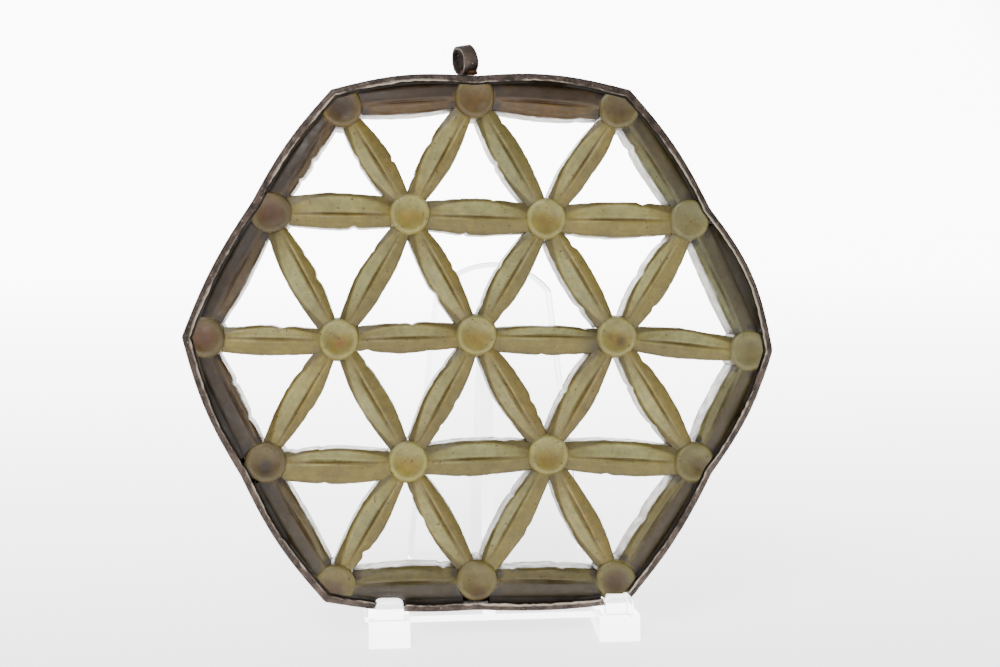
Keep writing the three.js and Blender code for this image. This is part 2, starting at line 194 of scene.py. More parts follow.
# ---- placement ----
def placement():
    """From the plaque's plane to the frame, both in millimetres, set by the stand's box."""
    stand_low, stand_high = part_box("display_stand")
    seat = PRONG_LEAST - LEDGE * math.cos(LEAN) - PLATE_FACE * math.sin(LEAN)
    offset = Vector((stand_low[0] / MM - PLATE_LEFT, stand_high[1] / MM - FIN_REACH, seat))
    pivot = Vector((*TURN_PIVOT, 0))
    turn = (Matrix.Translation(pivot) @ Matrix.Rotation(TURN, 4, "Z")
            @ Matrix.Translation(-pivot))
    lean = Matrix.Rotation(math.pi / 2 - LEAN, 4, "X")
    return Matrix.Translation(offset) @ lean @ turn


PLAQUE = placement()
TO_WORLD = Matrix.Scale(MM, 4) @ PLAQUE


# ---- mesh helpers ----
def add_object(name, points, faces):
    mesh = bpy.data.meshes.new(name)
    mesh.from_pydata([tuple(p) for p in points], [], faces)
    mesh.update()
    thing = bpy.data.objects.new(name, mesh)
    bpy.context.scene.collection.objects.link(thing)
    return thing


def loft(name, rings, closed=False):
    """A closed body through rings of points, an array [station, point, xyz]."""
    stations, count, _ = rings.shape
    points = list(rings.reshape(-1, 3))
    faces = []
    last = stations if closed else stations - 1
    for station in range(last):
        here, ahead = station * count, ((station + 1) % stations) * count
        for i in range(count):
            following = (i + 1) % count
            faces.append((here + i, here + following, ahead + following, ahead + i))
    if not closed:
        for ring, base, flip in ((rings[0], 0, True), (rings[-1], (stations - 1) * count, False)):
            middle = len(points)
            points.append(ring.mean(axis=0))
            for i in range(count):
                a, b = base + i, base + (i + 1) % count
                faces.append((b, a, middle) if flip else (a, b, middle))
    return outward(add_object(name, points, faces))


def outward(thing):
    """Turns a closed mesh's faces outwards."""
    mesh = thing.data
    mesh.calc_loop_triangles()
    places = np.array([vertex.co[:] for vertex in mesh.vertices])
    corners = np.array([triangle.vertices[:] for triangle in mesh.loop_triangles])
    a, b, c = places[corners[:, 0]], places[corners[:, 1]], places[corners[:, 2]]
    if np.einsum("ij,ij->i", a, np.cross(b, c)).sum() < 0:
        mesh.flip_normals()
    return thing


def prism(name, outline, low, high):
    count = len(outline)
    points = [(x, y, low) for x, y in outline] + [(x, y, high) for x, y in outline]
    faces = [tuple(range(count - 1, -1, -1)), tuple(range(count, 2 * count))]
    faces += [(i, (i + 1) % count, count + (i + 1) % count, count + i) for i in range(count)]
    return outward(add_object(name, points, faces))


def cut(target, tools):
    """Applies (operation, object) pairs to target and removes the tools."""
    for operation, tool in tools:
        step = target.modifiers.new("cut", "BOOLEAN")
        step.solver = "MANIFOLD"
        step.operation = operation
        step.object = tool
    view = bpy.context.evaluated_depsgraph_get()
    made = bpy.data.meshes.new_from_object(target.evaluated_get(view))
    target.modifiers.clear()
    target.data = made
    for _, tool in tools:
        bpy.data.objects.remove(tool)
    return target


def rough(random, count, reach):
    """An irregular line of about unit size whose bumps are about reach steps wide."""
    kernel = np.exp(-(np.arange(-3 * reach, 3 * reach + 1) / reach) ** 2)
    line = np.convolve(random.normal(size=count + len(kernel) - 1), kernel, "valid")
    return line / np.sqrt((kernel ** 2).sum())


def chips(random, way):
    """Depth lost to small chips along one edge."""
    lost = 0 * way
    for _ in range(random.randint(0, CHIPS + 1)):
        middle = random.uniform(0.2, 0.8)
        width = random.uniform(*CHIP_WIDTH)
        lost = lost + random.uniform(*CHIP_DEPTH) * np.exp(-((way - middle) / width) ** 2)
    return lost


# ---- the lattice ----
bosses = np.array([
    ((place - (count - 1) / 2) * PITCH + BOSS_DRIFT[row][place][0],
     ((len(ROW_COUNTS) - 1) / 2 - row) * ROW_STEP + BOSS_DRIFT[row][place][1])
    for row, count in enumerate(ROW_COUNTS) for place in range(count)])
row_of = [row for row, count in enumerate(ROW_COUNTS) for _ in range(count)]
rim_pairs = [(boss, RIM[(side + 1) % len(RIM)]) for side, boss in enumerate(RIM)]
rim_sets = [set(pair) for pair in rim_pairs]
inner_pairs = [
    (a, b) for a in range(len(bosses)) for b in range(a + 1, len(bosses))
    if np.hypot(*(bosses[a] - bosses[b])) < NEIGHBOUR_REACH * PITCH
    and {a, b} not in rim_sets]


def swell_at(way):
    """How far a strut has swollen, at a part of the way along it: 0 at its ends."""
    return np.sin(math.pi * np.clip((way - SWELL_START) / SWELL_SPAN, 0, 1))


def lens_reach(way):
    """How far towards the edge the lens-shaped facet reaches there."""
    arch = np.sin(math.pi * np.clip((way - LENS_START) / LENS_SPAN, 0, 1))
    return np.clip(LENS_FRACTION * arch ** LENS_POWER, LENS_LEAST, LENS_FRACTION)


class Strut:
    """One strut's line and half widths, used to shape it and later to colour it."""

    def __init__(self, a, b, left, right, rim=False):
        self.start = bosses[a]
        self.along = bosses[b] - bosses[a]
        self.length = np.hypot(*self.along)
        unit = self.along / self.length
        self.left = np.array([-unit[1], unit[0]])
        self.left_widths = left
        self.right_widths = right
        self.rim = rim
        # The lens-shaped facet is on the upper side, or the left one on slanting struts: the side
        # towards the light, which is painted lighter in jade_tints.
        self.lens_side = 1 if self.left @ np.array([-0.8, 0.6]) > 0 else -1
        if rim:
            self.lens_side = -1

    def widths(self, way):
        """Half widths on the left and the right, at a part of the way along."""
        swell = swell_at(way)
        left_end, left_middle = self.left_widths
        right_end, right_middle = self.right_widths
        return (left_end + (left_middle - left_end) * swell,
                right_end + (right_middle - right_end) * swell)

    def place(self, way, side, height):
        x = self.start[0] + self.along[0] * way + self.left[0] * side
        y = self.start[1] + self.along[1] * way + self.left[1] * side
        return np.stack([x, y, height], axis=-1)

    def local(self, points):
        """The part of the way along and the distance to the left, for each point."""
        relative = points[:, :2] - self.start
        return relative @ self.along / self.length ** 2, relative @ self.left


def make_struts():
    struts = []
    for a, b in inner_pairs:
        level = SLIM_BAR if row_of[a] == 2 else BAR
        widths = level if row_of[a] == row_of[b] else LEAF
        shift = STRUT_SHIFT.get((a, b), 0)
        struts.append(Strut(a, b, [w + shift for w in widths], [w - shift for w in widths]))
    for side, (a, b) in enumerate(rim_pairs):
        inner = [RIM_INNER[side] * RIM_END_FRACTION, RIM_INNER[side]]
        struts.append(Strut(a, b, [RIM_REACH] * 2, inner, rim=True))
    return struts


def strut_body(strut, random):
    """One strut as a closed body, with worn edges, a vein and a lens-shaped facet."""
    way = np.linspace(STRUT_START, 1 - STRUT_START, STRUT_STATIONS)
    swell = swell_at(way)
    crown = CROWN_HEIGHT - END_FALL * (1 - swell)
    left_half, right_half = strut.widths(way)

    def worn_edge():
        fine, slow = rough(random, len(way), 1), rough(random, len(way), 7)
        return (EDGE_NIBBLE * fine + EDGE_WANDER * slow) * swell - chips(random, way)

    nibble_left, nibble_right = worn_edge(), worn_edge()
    vein_drift = VEIN_DRIFT * rough(random, len(way), 12) * swell
    columns = []

    def add(side, height):
        columns.append(strut.place(way, side, height + 0 * way))

    def top(side, half):
        """Height of the top: a rounded half, and one with a lens facet and a bevel."""
        fraction = np.clip(np.abs(side) / half, 0, 1)
        rise = crown - EDGE_HEIGHT
        rounded = 1 - fraction ** ROUNDED_POWER
        lens = lens_reach(way)
        inside = 1 - LENS_FALL * fraction / lens - LENS_HOLLOW * np.sin(
            math.pi * np.clip(fraction / lens, 0, 1))
        outside = (1 - LENS_FALL) * (1 - fraction) / (1 - lens)
        faceted = np.where(fraction < lens, inside, outside)
        shape = np.where(side * strut.lens_side > 0, faceted, rounded)
        vein = VEIN_DEPTH * swell * np.exp(-((side - vein_drift) / VEIN_HALF) ** 2)
        return EDGE_HEIGHT + rise * shape - vein

    right = right_half + nibble_right
    left = left_half if strut.rim else left_half + nibble_left
    add(-right, 0.0)
    add(-right, WALL_MIDDLE)
    add(-right, WALL_TOP)
    for fraction in TOP_FRACTIONS:
        side = -right * fraction
        drop = EDGE_DROP * (fraction == 1)
        add(side, top(side, right) - drop)
    slope = np.full_like(way, RIM_SHELF) if strut.rim else left
    for fraction in [0] + TOP_FRACTIONS[::-1]:
        side = slope * fraction
        drop = EDGE_DROP * (fraction == 1 and not strut.rim)
        add(side, top(side, slope) - drop)
    if strut.rim:
        add(left * 0.7, EDGE_HEIGHT)
        add(left, EDGE_HEIGHT)
    add(left, WALL_TOP)
    add(left, WALL_MIDDLE)
    add(left, 0.0)
    add(0.0 * way, 0.0)
    return loft("strut", np.stack(columns, axis=1))


def boss_body(centre, random):
    """One round boss: slightly uneven, slightly tilted, with a shallow dish on top."""
    turn = np.linspace(0, 2 * math.pi, BOSS_SIDES, endpoint=False)
    depth = random.uniform(*DISH_DEPTH)
    tilt = random.uniform(-BOSS_TILT, BOSS_TILT, 2)
    dish = [(radius, BOSS_TOP - depth * part) for radius, part in BOSS_DISH]
    rings = []
    wobble = 0
    for bumps, size in BOSS_WOBBLE:
        wobble = wobble + np.sin(bumps * turn + random.uniform(0, 6)) * size
    for radius, height in BOSS_WALL + dish:
        loose = radius * (1 + wobble * (height > 5))
        x, y = loose * np.cos(turn), loose * np.sin(turn)
        lean = (tilt[0] * x + tilt[1] * y) * (height > 5.6)
        rings.append(np.stack([centre[0] + x, centre[1] + y, height - np.abs(lean)], axis=-1))
    return loft("boss", np.stack(rings, axis=0))


# ---- the rim's outline ----
# A place on the rim is given in steps: step 2.5 is half way along the third side.
def side_normal(side):
    a, b = bosses[RIM[side % len(RIM)]], bosses[RIM[(side + 1) % len(RIM)]]
    normal = np.array([a[1] - b[1], b[0] - a[0]])
    return normal / np.hypot(*normal)


def rim_corner(side, inset):
    here = side % len(RIM)
    before, after = side_normal(here - 1), side_normal(here)
    middle = (before + after) / np.hypot(*(before + after))
    return bosses[RIM[here]] + middle * (RIM_DIP[here] - inset / (middle @ after))


def rim_point(step, inset):
    side = int(math.floor(step)) % len(RIM)
    way = step - math.floor(step)
    rise = RIM_BULGE[side] - (RIM_DIP[side] + RIM_DIP[(side + 1) % len(RIM)]) / 2
    line = rim_corner(side, inset) * (1 - way) + rim_corner(side + 1, inset) * way
    return line + side_normal(side) * rise * math.sin(math.pi * way)


def outline(inset):
    count = len(RIM) * OUTLINE_STEPS
    return [tuple(rim_point(i / OUTLINE_STEPS, inset)) for i in range(count)][::-1]


def rim_step_at(side, x):
    """The step on one side of the rim that lies at x."""
    start, end = rim_point(side, 0)[0], rim_point(side + SIDE_END, 0)[0]
    return side + (x - start) / (end - start)


def notch_outline():
    left, right, top, radius = (NOTCH[key] for key in ("left", "right", "top", "radius"))
    shape = [(left, CUT_DOWN), (right, CUT_DOWN)]
    for i in range(ARC_STEPS + 1):
        angle = math.pi / 2 * i / ARC_STEPS
        shape.append((right - radius + radius * math.cos(angle),
                      top - radius + radius * math.sin(angle)))
    for i in range(ARC_STEPS + 1):
        angle = math.pi / 2 * (1 + i / ARC_STEPS)
        shape.append((left + radius + radius * math.cos(angle),
                      top - radius + radius * math.sin(angle)))
    return shape


# ---- jade plaque ----
def jade_body(struts, random):
    """All struts and bosses as one body, trimmed to the rim, the lip, the notch and the gap."""
    parts = [strut_body(strut, random) for strut in struts]
    parts += [boss_body(centre, random) for centre in bosses]
    whole = parts[0]
    gap = CORNER_GAP
    corner = [(gap["left"], CUT_DOWN), (gap["right"], CUT_DOWN), (gap["right"], gap["top"]),
              (gap["left"], gap["top"])]
    lip_room = prism("lip_room", outline(-1), EDGE_HEIGHT, LIP_ROOM_TOP)
    cut(lip_room, [("DIFFERENCE", prism("inside", outline(LIP + CLEARANCE), *LIP_ROOM_CORE))])
    return cut(whole, [("UNION", part) for part in parts[1:]] + [
        ("INTERSECT", prism("edge", outline(JADE_INSET), CUT_BACK, CUT_FRONT)),
        ("DIFFERENCE", lip_room),
        ("DIFFERENCE", prism("notch", notch_outline(), CUT_BACK, CUT_FRONT)),
        ("DIFFERENCE", prism("corner", corner, CUT_BACK, CUT_FRONT))])


# ---- silver ----
def band_body(name, start, end, random):
    """A folded strip along the rim from one step to another, with a worn front lip."""
    steps = int((end - start) * BAND_STEPS)
    stations = np.linspace(start, end, steps)
    edge = 0.03 * rough(random, steps, 1) + 0.04 * rough(random, steps, 6)
    height = 0.025 * rough(random, steps, 1) + 0.04 * rough(random, steps, 9)
    fringe = 0.03 + 0.03 * np.abs(rough(random, steps, 1))
    rings = []
    for step, wander, lift, worn in zip(stations, edge, height, fringe):
        lip = LIP + wander
        rise = LIP_RISE + lift - LIP_LOWER
        # Inset and level, from the back fold up the outside, over the lip and back inside.
        section = [
            (0, BACK_LIP_TOP - SHEET), (0, 0.8), (0, 2.6), (0, 4.4), (0.0, 5.3),
            (worn, FRONT_FOLD - 0.16), (worn + 0.14, FRONT_FOLD - 0.02),
            (0.45, FRONT_FOLD + 0.05 + lift / 3),
            (0.7, FRONT_FOLD + 0.13), (lip - 0.22, FRONT_FOLD + rise * 0.8),
            (lip - 0.1, FRONT_FOLD + rise), (lip, FRONT_FOLD + rise - 0.05),
            (lip + 0.02, FRONT_FOLD + rise - 0.2), (lip - 0.06, FRONT_FOLD + rise - SHEET),
            (SHEET, FRONT_FOLD - SHEET), (SHEET, BACK_LIP_TOP), (LIP, BACK_LIP_TOP),
            (LIP, BACK_LIP_TOP - SHEET)]
        ring = []
        for inset, level in section:
            finer = FINE_INSET * (inset < FINE_INSET_BELOW)
            x, y = rim_point(step % len(RIM), inset + finer)
            ring.append((x, y, level))
        rings.append(ring)
    return loft(name, np.array(rings))


def loop_body():
    """The hanging ring, worn thinner in places."""
    turn = np.linspace(0, 2 * math.pi, RING_STEPS, endpoint=False)
    inner, outer, half = LOOP["inner"], LOOP["outer"], LOOP["width"] / 2
    worn = 0.05 + 0.03 * np.sin(2 * turn + 1.0)
    section = [
        (outer - 0.12, -half), (outer - 0.02, -half + 0.12), (outer - 0.01, -half / 2),
        (outer - 0.01, half / 2), (outer - 0.02, half - 0.12), (outer - 0.12, half),
        (inner + 0.1, half), (inner + 0.01, half - 0.1), (inner + 0.01, -half + 0.1),
        (inner + 0.1, -half)]
    rings = []
    for angle, wear in zip(turn, worn):
        ring = []
        for radius, across in section:
            away = radius - wear * (radius > (inner + outer) / 2)
            ring.append((away * math.cos(angle), away * math.sin(angle),
                         across * (1 - 0.04 * math.sin(3 * angle))))
        rings.append(ring)
    loop = loft("hanging_ring", np.array(rings), closed=True)
    place = (Matrix.Translation((LOOP["x"], LOOP["y"], LOOP["z"]))
             @ Matrix.Rotation(math.radians(LOOP["roll"]), 4, "Z")
             @ Matrix.Rotation(math.pi / 2 + math.radians(LOOP["yaw"]), 4, "Y"))
    loop.data.transform(place)
    return outward(loop)


def solder_body(random):
    """A low rounded lump under the ring."""
    base = rim_point(rim_step_at(0, SOLDER_PAD["x"]), 0)[1] + CLEARANCE
    rings = []
    lumps = rough(random, SOLDER_SIDES, 4)
    for i in range(SOLDER_STEPS):
        latitude = -math.pi / 2 + math.pi * (i + 0.5) / SOLDER_STEPS
        ring = []
        for j in range(SOLDER_SIDES):
            longitude = 2 * math.pi * j / SOLDER_SIDES
            lump = 1 + 0.03 * lumps[j]
            flat = abs(math.cos(latitude)) ** 0.6 * lump
            ring.append((
                SOLDER_PAD["x"] + SOLDER_PAD["width"] / 2.2 * flat * math.cos(longitude),
                base + SOLDER_PAD["height"] / 2 + SOLDER_PAD["height"] / 2
                * math.copysign(abs(math.sin(latitude)) ** 0.8, latitude),
                LOOP["z"] + SOLDER_PAD["depth"] / 2.2 * flat * math.sin(longitude)))
        rings.append(ring)
    return loft("solder", np.array(rings))


# ---- colour ----
PAINT_GAIN = 0.82
PAINT_POWER = 1.45
PAINT_SATURATION = 1.45
PAINT_LEAST = 0.002
LUMINANCE = (0.2126, 0.7152, 0.0722)


def linear(red, green, blue):
    def channel(value):
        value /= 255
        return value / 12.92 if value <= 0.04045 else ((value + 0.055) / 1.055) ** 2.4
    return np.array([channel(red), channel(green), channel(blue)])


def pigment(red, green, blue):
    """Paint that comes out near the given screen colour under the studio's light."""
    base = linear(red, green, blue)
    light = base @ np.array(LUMINANCE)
    vivid = np.maximum(light + PAINT_SATURATION * (base - light), PAINT_LEAST)
    return PAINT_GAIN * vivid ** PAINT_POWER


BOSS_TINT = pigment(138, 131, 90)
STRUT_TINT = pigment(131, 122, 86)
LIT_SIDE_TINT = pigment(160, 157, 128)
HIGHLIGHT_TINT = pigment(177, 173, 143)
OLIVE_TINT = pigment(103, 96, 66)
LIT_WALL_TINT = pigment(205, 200, 186)
VEIN_TINT = pigment(92, 72, 40)
EARTH_TINT = pigment(136, 116, 58)
DARK_TINT = pigment(48, 36, 26)
RIM_TINTS = {
    "right": pigment(118, 115, 92), "bottom": pigment(110, 102, 72),
    "left": pigment(86, 71, 44), "top": pigment(94, 76, 42),
    "bottom_right": pigment(114, 109, 82),
}
RIM_STAINS = {
    "right": pigment(80, 70, 48), "bottom": pigment(58, 42, 20),
    "left": pigment(50, 36, 20), "top": pigment(54, 38, 20),
    "bottom_right": pigment(62, 47, 25),
}
# Marks on bosses: boss, across, up, radius, amount, tint.
MARKS = [
    (8, 0.2, -0.4, 0.45, 0.85, pigment(120, 66, 26)), (8, 0.2, -0.4, 0.95, 0.45, EARTH_TINT),
    (8, -0.5, 0.5, 0.3, 0.5, VEIN_TINT), (9, -0.75, -0.05, 0.22, 0.8, VEIN_TINT),
    (10, 0.5, -0.6, 0.75, 0.5, DARK_TINT), (10, -0.9, 0.1, 0.5, 0.35, VEIN_TINT),
    (12, 0.1, -0.7, 1.1, 0.75, DARK_TINT), (7, -0.1, 0.1, 1.8, 0.75, pigment(96, 68, 42)),
    (3, 0.1, 0.1, 1.7, 0.7, pigment(92, 62, 40)), (0, 0.0, 0.2, 2.0, 0.8, pigment(62, 50, 44)),
    (2, 0.0, 0.0, 1.7, 0.6, pigment(92, 76, 56)), (16, -0.3, -0.8, 1.7, 0.7, pigment(84, 62, 46)),
    (18, 0.0, 0.0, 1.8, 0.75, pigment(80, 54, 38)), (17, 0.3, -1.7, 1.2, 0.7, VEIN_TINT),
    (15, 0.9, -0.5, 1.3, 0.55, pigment(78, 64, 42)), (11, 0.4, 0.0, 1.7, 0.5, OLIVE_TINT),
]
# The end of one strut is stained nearly black: strut, where along it, and how far.
DARK_END = ((9, 10), 0.86, 0.07)


def mix(base, over, amount):
    amount = np.clip(amount, 0, 1)[:, None]
    return base * (1 - amount) + over * amount


def by_side(points, table):
    """A colour of the rim for each point, from which side of the plaque it is on."""
    angle = np.degrees(np.arctan2(points[:, 1], points[:, 0])) % 360
    stops = [(0, "right"), (45, "right"), (70, "top"), (125, "top"), (150, "left"),
             (215, "left"), (245, "bottom"), (285, "bottom"), (305, "bottom_right"),
             (335, "bottom_right"), (350, "right"), (360, "right")]
    degrees = [degree for degree, _ in stops]
    return np.stack([
        np.interp(angle, degrees, [table[name][channel] for _, name in stops])
        for channel in range(3)], axis=1)


def ease(low, high, value):
    """0 at low, 1 at high and smooth between. Low may be the larger one."""
    part = np.clip((value - low) / (high - low), 0, 1)
    return part * part * (3 - 2 * part)


class Nearest:
    """For each point, the strut it is on: its place along it and its distance to the side."""

    def __init__(self, points, struts):
        count = len(points)
        best = np.full(count, np.inf)
        self.way, self.side = np.zeros(count), np.zeros(count)
        self.half = np.ones(count)
        self.rim, self.index = np.zeros(count), np.zeros(count, dtype=int)
        for index, strut in enumerate(struts):
            way, side = strut.local(points)
            left, right = strut.widths(np.clip(way, 0, 1))
            half = np.where(side > 0, RIM_SHELF if strut.rim else left, right)
            past_end = np.clip(np.abs(way - 0.5) - 0.45, 0, 1)
            away = np.abs(side) / half + 12 * past_end
            closer = away < best
            best[closer] = away[closer]
            self.way[closer] = way[closer]
            self.side[closer] = side[closer] * strut.lens_side
            self.half[closer] = half[closer]
            self.rim[closer] = strut.rim
            self.index[closer] = index


def boss_tints(points, away, closest, to_boss, random):
    """Colour of each jade vertex as it would be on top of the boss nearest to it, with a painted
    lighter upper part and a painted highlight round its rim.
    """
    boss_up = away[np.arange(len(points)), closest, 1]
    shade = random.uniform(0.92, 1.08, len(bosses))[closest][:, None]
    # Painted light: the upper part of each boss is painted lighter, and a painted highlight rings
    # its raised rim.
    boss = mix(np.tile(BOSS_TINT, (len(points), 1)), LIT_SIDE_TINT, 0.5 * ease(-0.3, 1.8, boss_up))
    boss = mix(boss, HIGHLIGHT_TINT, 0.45 * np.exp(-((to_boss - 2.35) / 0.2) ** 2))
    boss = mix(boss, EARTH_TINT, 0.6 * np.exp(-(np.hypot(to_boss, 0.5) / 1.5) ** 4)
               * ease(1.4, -0.6, boss_up))
    is_rim = np.isin(closest, RIM)
    boss = mix(boss, by_side(points, RIM_TINTS), 0.8 * is_rim) * shade
    for index, across, up, radius, amount, colour in MARKS:
        gap = np.hypot(away[:, index, 0] - across, away[:, index, 1] - up)
        boss = mix(boss, colour, amount * np.exp(-(gap / radius) ** 4))
    return boss


def jade_tints(points, struts, random):
    """Base colour of each jade vertex, from how far it is from veins, edges, bosses and rim, with
    painted light and shade on facets, walls and corners.
    """
    near = Nearest(points, struts)
    shade = random.uniform(0.9, 1.08, len(struts))[near.index][:, None]
    warmth = random.uniform(-0.05, 0.05, len(struts))[near.index]
    swell = swell_at(near.way)
    top = ease(4.3, 4.9, points[:, 2])
    fraction = near.side / near.half
    lens = lens_reach(near.way)
    away = points[:, None, :2] - bosses[None, :, :]
    distances = np.hypot(away[..., 0], away[..., 1])
    closest = distances.argmin(axis=1)
    to_boss = distances[np.arange(len(points)), closest]

    # Painted light: the lens-shaped facet on the lit side is painted pale, with a painted
    # highlight line at its end and painted olive shade on the bevel beyond it.
    tint = np.tile(STRUT_TINT, (len(points), 1))
    lit_lens = (fraction > 0) * (1 - ease(lens - 0.06, lens + 0.04, fraction)) * swell
    tint = mix(tint, LIT_SIDE_TINT, 0.8 * lit_lens)
    tint = mix(tint, HIGHLIGHT_TINT, 0.5 * np.exp(-((fraction - lens) / 0.07) ** 2) * swell)
    tint = mix(tint, OLIVE_TINT, 0.75 * ease(lens + 0.05, lens + 0.16, fraction))
    # Painted shade: the outer edge of the rounded side is painted olive.
    tint = mix(tint, OLIVE_TINT, 0.45 * ease(0.8, 0.95, -fraction))
    # Rim struts have their side's colour: stained outside the vein, and darkest near the band,
    # where painted shadow of the band's lip lies over the stain.
    rim_face = mix(by_side(points, RIM_TINTS), by_side(points, RIM_STAINS),
                   ease(0.02, 0.2, -fraction) * 0.85)
    rim_face = mix(rim_face, by_side(points, RIM_STAINS) * 0.45, ease(0.75, 1.0, -fraction))
    tint = mix(tint, rim_face, 0.94 * near.rim)
    # The vein is brown, with a painted highlight line beside it.
    vein = np.exp(-(near.side / 0.17) ** 2) * swell
    tint = mix(tint, mix(np.tile(VEIN_TINT, (len(points), 1)), DARK_TINT, 0.6 * near.rim),
               0.75 * vein)
    # Painted highlight beside the vein, stronger towards the strut's start.
    bright = np.exp(-((near.side + 0.34) / 0.12) ** 2) * swell * (1 - near.rim)
    tint = mix(tint, HIGHLIGHT_TINT, bright * (0.25 + 0.55 * ease(0.55, 0.25, near.way)))
    tint = tint * shade * np.stack([1 + warmth, 1 + 0 * warmth, 1 - 1.5 * warmth], axis=1)
    # Painted light: the side walls are painted paler than the face, as if lit through the jade,
    # and they turn darker towards the back.
    lit_wall = mix(np.tile(LIT_WALL_TINT, (len(points), 1)), by_side(points, RIM_STAINS),
               0.35 * near.rim)
    lit_wall = mix(lit_wall, OLIVE_TINT, 0.4 * ease(1.0, 0.0, points[:, 2]))
    streak = 1 + 0.045 * np.sin(9 * near.side + 5 * near.way + 1.7 * near.index) * top
    tint = tint * (streak + 0.03 * np.sin(23 * near.side + near.index))[:, None]
    tint = mix(tint, lit_wall, (1 - top) * 0.9)
    # Painted shade darkens the corners by the bosses, most on the rim.
    corner = ease(0.9, 0.2, np.abs(to_boss - 3.2)) * (points[:, 2] < 5.4)
    tint = mix(tint, DARK_TINT, corner * (0.12 + 0.6 * near.rim))
    (a, b), dark_at, dark_reach = DARK_END
    dark_index = inner_pairs.index((a, b))
    stained = (near.index == dark_index) * ease(dark_at - 0.2, dark_at + dark_reach, near.way)
    tint = mix(tint, DARK_TINT, 0.75 * stained)

    on_boss = ease(2.9, 2.7, to_boss) * (points[:, 2] > 4.9)
    boss = boss_tints(points, away, closest, to_boss, random)
    return tint * (1 - on_boss[:, None]) + boss * on_boss[:, None]


def store_colour(thing, name, colours):
    layer = thing.data.color_attributes.new(name, "FLOAT_COLOR", "POINT")
    flat = np.ones((len(colours), 4), dtype=np.float32)
    flat[:, :3] = colours
    layer.data.foreach_set("color", flat.ravel())


def vertex_array(thing):
    flat = np.empty(len(thing.data.vertices) * 3, dtype=np.float32)
    thing.data.vertices.foreach_get("co", flat)
    return flat.reshape(-1, 3).astype(float)


# ---- materials ----
def new_material(name):
    material = bpy.data.materials.new(name)
    material.use_nodes = True
    tree = material.node_tree
    return material, tree, tree.nodes["Principled BSDF"]


def noise(tree, scale, detail=4.0, roughness=0.55):
    place = tree.nodes.new("ShaderNodeTexCoord")
    node = tree.nodes.new("ShaderNodeTexNoise")
    node.inputs["Scale"].default_value = scale
    node.inputs["Detail"].default_value = detail
    node.inputs["Roughness"].default_value = roughness
    tree.links.new(place.outputs["Object"], node.inputs["Vector"])
    return node.outputs["Fac"]


def ramp(tree, source, low, high, from_value=0.0, to_value=1.0):
    node = tree.nodes.new("ShaderNodeMapRange")
    node.inputs["From Min"].default_value = low
    node.inputs["From Max"].default_value = high
    node.inputs["To Min"].default_value = from_value
    node.inputs["To Max"].default_value = to_value
    tree.links.new(source, node.inputs["Value"])
    return node.outputs["Result"]


def blend_colour(tree, amount, first, second, mode="MIX"):
    node = tree.nodes.new("ShaderNodeMix")
    node.data_type = "RGBA"
    node.blend_type = mode
    for socket, value in ((node.inputs["Factor"], amount), (node.inputs[6], first),
                          (node.inputs[7], second)):
        if isinstance(value, bpy.types.NodeSocket):
            tree.links.new(value, socket)
        elif isinstance(value, float):
            socket.default_value = value
        else:
            socket.default_value = (*value, 1)
    return node.outputs[2]


def bump(tree, shader, height, strength, distance):
    node = tree.nodes.new("ShaderNodeBump")
    node.inputs["Strength"].default_value = strength
    node.inputs["Distance"].default_value = distance
    tree.links.new(height, node.inputs["Height"])
    tree.links.new(node.outputs["Normal"], shader.inputs["Normal"])


def jade_material():
    material, tree, shader = new_material("worn_jade")
    tint = tree.nodes.new("ShaderNodeVertexColor")
    tint.layer_name = "tint"
    cloud = ramp(tree, noise(tree, 160, 3), 0.3, 0.7, 0.8, 1.16)
    mottle = ramp(tree, noise(tree, 900, 5, 0.65), 0.35, 0.65, 0.82, 1.14)
    colour = blend_colour(tree, 1.0, tint.outputs["Color"], cloud, "MULTIPLY")
    colour = blend_colour(tree, 1.0, colour, mottle, "MULTIPLY")
    speck = ramp(tree, noise(tree, 2400, 2), 0.66, 0.72)
    colour = blend_colour(tree, speck, colour, VEIN_TINT)
    tree.links.new(colour, shader.inputs["Base Color"])
    tree.links.new(ramp(tree, noise(tree, 700, 4), 0.3, 0.7, 0.3, 0.6),
                   shader.inputs["Roughness"])
    shader.inputs["Subsurface Weight"].default_value = 0.12
    shader.inputs["Subsurface Radius"].default_value = (1.0, 0.8, 0.45)
    shader.inputs["Subsurface Scale"].default_value = 0.0008
    shader.inputs["IOR"].default_value = 1.6
    shader.inputs["Specular IOR Level"].default_value = 0.3
    bump(tree, shader, noise(tree, 1100, 5, 0.55), 0.16, 0.0001)
    return material


def silver_material(name, tarnish, metal, bright):
    material, tree, shader = new_material(name)
    wide = ramp(tree, noise(tree, 500, 5, 0.7), 0.4, 0.62)
    fine = ramp(tree, noise(tree, 2600, 4, 0.7), 0.6, 0.72, 0.0, 0.6)
    colour = blend_colour(tree, wide, tarnish, metal)
    colour = blend_colour(tree, fine, colour, bright)
    rub = tree.nodes.new("ShaderNodeVertexColor")
    rub.layer_name = "rub"
    colour = blend_colour(tree, rub.outputs["Color"], colour, bright)
    tree.links.new(colour, shader.inputs["Base Color"])
    shader.inputs["Metallic"].default_value = 0.55
    tree.links.new(ramp(tree, noise(tree, 900, 4), 0.3, 0.7, 0.34, 0.68),
                   shader.inputs["Roughness"])
    bump(tree, shader, noise(tree, 1700, 6, 0.7), 0.5, 0.00015)
    return material


def clear_material():
    material, tree, shader = new_material("clear_acrylic")
    shader.inputs["Base Color"].default_value = (0.955, 0.96, 0.985, 1)
    shader.inputs["Transmission Weight"].default_value = 1.0
    shader.inputs["IOR"].default_value = 1.49
    tree.links.new(ramp(tree, noise(tree, 400, 3), 0.3, 0.7, 0.02, 0.06),
                   shader.inputs["Roughness"])
    bump(tree, shader, noise(tree, 30, 2), 0.02, 0.0002)
    return material


